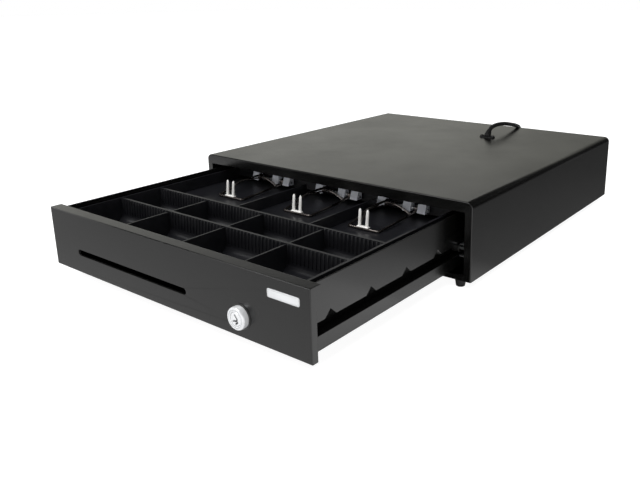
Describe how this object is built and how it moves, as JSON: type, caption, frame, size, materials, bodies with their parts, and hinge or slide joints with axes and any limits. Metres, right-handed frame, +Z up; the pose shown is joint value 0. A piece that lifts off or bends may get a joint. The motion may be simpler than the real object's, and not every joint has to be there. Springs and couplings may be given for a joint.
{
  "type": "cash drawer",
  "caption": "Steel till drawer on rollers with a key lock, media slot, coin and note tray, sprung bill clips and a rear electric latch.",
  "frame": {"origin": "middle of the footprint of the open drawer on the surface it stands on, the cable left out", "axes": "+Z up, +Y from the drawer's face towards the cabinet's back, +X to the right seen from the front"},
  "size_m": [0.41, 0.7579, 0.1152],
  "materials": {
    "powder_black": "fine textured black powder coat",
    "zinc_steel": "zinc plated",
    "nylon": "moulded black nylon",
    "rubber": "matte",
    "badge": "blank silver label",
    "chrome": "polished",
    "satin_nickel": "satin nickel plated",
    "tray_plastic": "moulded black",
    "clip_grey": "moulded grey",
    "clip_wire": "dark spring wire",
    "coil_tape": "taped winding",
    "switch_plastic": "moulded",
    "cable_black": "satin jacket",
    "plug_clear": "clear moulded"
  },
  "bodies": {
    "cabinet": {"housing_cover": "powder_black", "base_plate": "powder_black", "rear_panel": "powder_black", "rubber_feet": "rubber", "cabinet_rail_right": "zinc_steel", "cabinet_rail_left": "zinc_steel", "front_roller_studs": "zinc_steel", "lock_keeper": "zinc_steel", "latch_bracket": "zinc_steel", "latch_pivot_pin": "zinc_steel", "solenoid_frame": "zinc_steel", "solenoid_coil": "coil_tape", "drawer_switch": "switch_plastic", "ejector_housing": "zinc_steel", "ejector_spring": "zinc_steel", "rail_screws": "zinc_steel", "cable_gland": "cable_black", "cable_gland_nut": "cable_black", "cable_tube": "cable_black", "cable_coil": "cable_black", "cable_tie": "cable_black", "cable_plug": "plug_clear"},
    "drawer": {"drawer_shell": "powder_black", "front_panel": "powder_black", "badge_plate": "badge", "rear_roller_studs": "zinc_steel", "striker_plate": "zinc_steel", "lock_barrel": "chrome", "lock_nut": "zinc_steel", "cash_tray": "tray_plastic", "clip_bar": "tray_plastic", "clip_blocks": "clip_grey", "clip_axles": "zinc_steel", "coin_divider_front_left": "tray_plastic", "coin_divider_front_middle": "tray_plastic", "coin_divider_front_right": "tray_plastic", "coin_divider_rear_left": "tray_plastic", "coin_divider_rear_middle": "tray_plastic", "coin_divider_rear_right": "tray_plastic", "note_divider_left": "tray_plastic", "note_divider_right": "tray_plastic"},
    "front_roller_right_body": {"front_roller_right": "nylon"},
    "front_roller_left_body": {"front_roller_left": "nylon"},
    "rear_roller_right_body": {"rear_roller_right": "nylon"},
    "rear_roller_left_body": {"rear_roller_left": "nylon"},
    "lock_rotor": {"lock_plug": "chrome", "lock_tail_bar": "zinc_steel", "lock_cam": "zinc_steel"},
    "clip_left": {"bill_clip_left": "clip_wire", "clip_prongs_left": "satin_nickel"},
    "clip_middle": {"bill_clip_middle": "clip_wire", "clip_prongs_middle": "satin_nickel"},
    "clip_right": {"bill_clip_right": "clip_wire", "clip_prongs_right": "satin_nickel"},
    "latch": {"latch_hook": "zinc_steel"},
    "plunger": {"solenoid_plunger": "zinc_steel"},
    "ejector": {"ejector_plunger": "zinc_steel"}
  },
  "joints": [
    {"name": "drawer_slide", "type": "slide", "parent": "cabinet", "child": "drawer", "axis": [0, -1, 0], "range_m": [-0.233, 0.066]},
    {"name": "front_roller_right_spin", "type": "hinge", "parent": "cabinet", "child": "front_roller_right_body", "pos_m": [0.178, -0.0685, 0.0392], "axis": [1, 0, 0], "range_deg": [-2432.3, 2432.3]},
    {"name": "front_roller_left_spin", "type": "hinge", "parent": "cabinet", "child": "front_roller_left_body", "pos_m": [-0.178, -0.0685, 0.0392], "axis": [1, 0, 0], "range_deg": [-2432.3, 2432.3]},
    {"name": "rear_roller_right_spin", "type": "hinge", "parent": "drawer", "child": "rear_roller_right_body", "pos_m": [0.1903, 0.0255, 0.0392], "axis": [1, 0, 0], "range_deg": [-2432.3, 2432.3]},
    {"name": "rear_roller_left_spin", "type": "hinge", "parent": "drawer", "child": "rear_roller_left_body", "pos_m": [-0.1903, 0.0255, 0.0392], "axis": [1, 0, 0], "range_deg": [-2432.3, 2432.3]},
    {"name": "lock_turn", "type": "hinge", "parent": "drawer", "child": "lock_rotor", "pos_m": [0.11, -0.3195, 0.0365], "axis": [0, 1, 0], "range_deg": [-90, 45]},
    {"name": "clip_left_lift", "type": "hinge", "parent": "drawer", "child": "clip_left", "pos_m": [-0.107, -0.062, 0.0705], "axis": [-1, 0, 0], "range_deg": [0, 20], "stiffness_Nm_per_rad": 0.05, "springref_deg": -28.65},
    {"name": "clip_middle_lift", "type": "hinge", "parent": "drawer", "child": "clip_middle", "pos_m": [0.005, -0.062, 0.0705], "axis": [-1, 0, 0], "range_deg": [0, 20], "stiffness_Nm_per_rad": 0.05, "springref_deg": -28.65},
    {"name": "clip_right_lift", "type": "hinge", "parent": "drawer", "child": "clip_right", "pos_m": [0.101, -0.062, 0.0705], "axis": [-1, 0, 0], "range_deg": [0, 20], "stiffness_Nm_per_rad": 0.05, "springref_deg": -28.65},
    {"name": "latch_turn", "type": "hinge", "parent": "cabinet", "child": "latch", "pos_m": [0, 0.3115, 0.053], "axis": [-1, 0, 0], "range_deg": [-16, 0], "stiffness_Nm_per_rad": 0.3, "springref_deg": 1.15},
    {"name": "solenoid_slide", "type": "slide", "parent": "cabinet", "child": "plunger", "axis": [0, 0, 1], "range_m": [-0.0033, 0]},
    {"name": "ejector_slide", "type": "slide", "parent": "cabinet", "child": "ejector", "axis": [0, -1, 0], "range_m": [0, 0.016]}
  ],
  "couplings": [
    {"joint": "front_roller_right_spin", "follows": "drawer_slide", "rad_per_m": 181.82},
    {"joint": "front_roller_left_spin", "follows": "drawer_slide", "rad_per_m": 181.82},
    {"joint": "rear_roller_right_spin", "follows": "drawer_slide", "rad_per_m": 181.82},
    {"joint": "rear_roller_left_spin", "follows": "drawer_slide", "rad_per_m": 181.82},
    {"joint": "latch_turn", "follows": "solenoid_slide", "rad_per_m": 84.18}
  ]
}
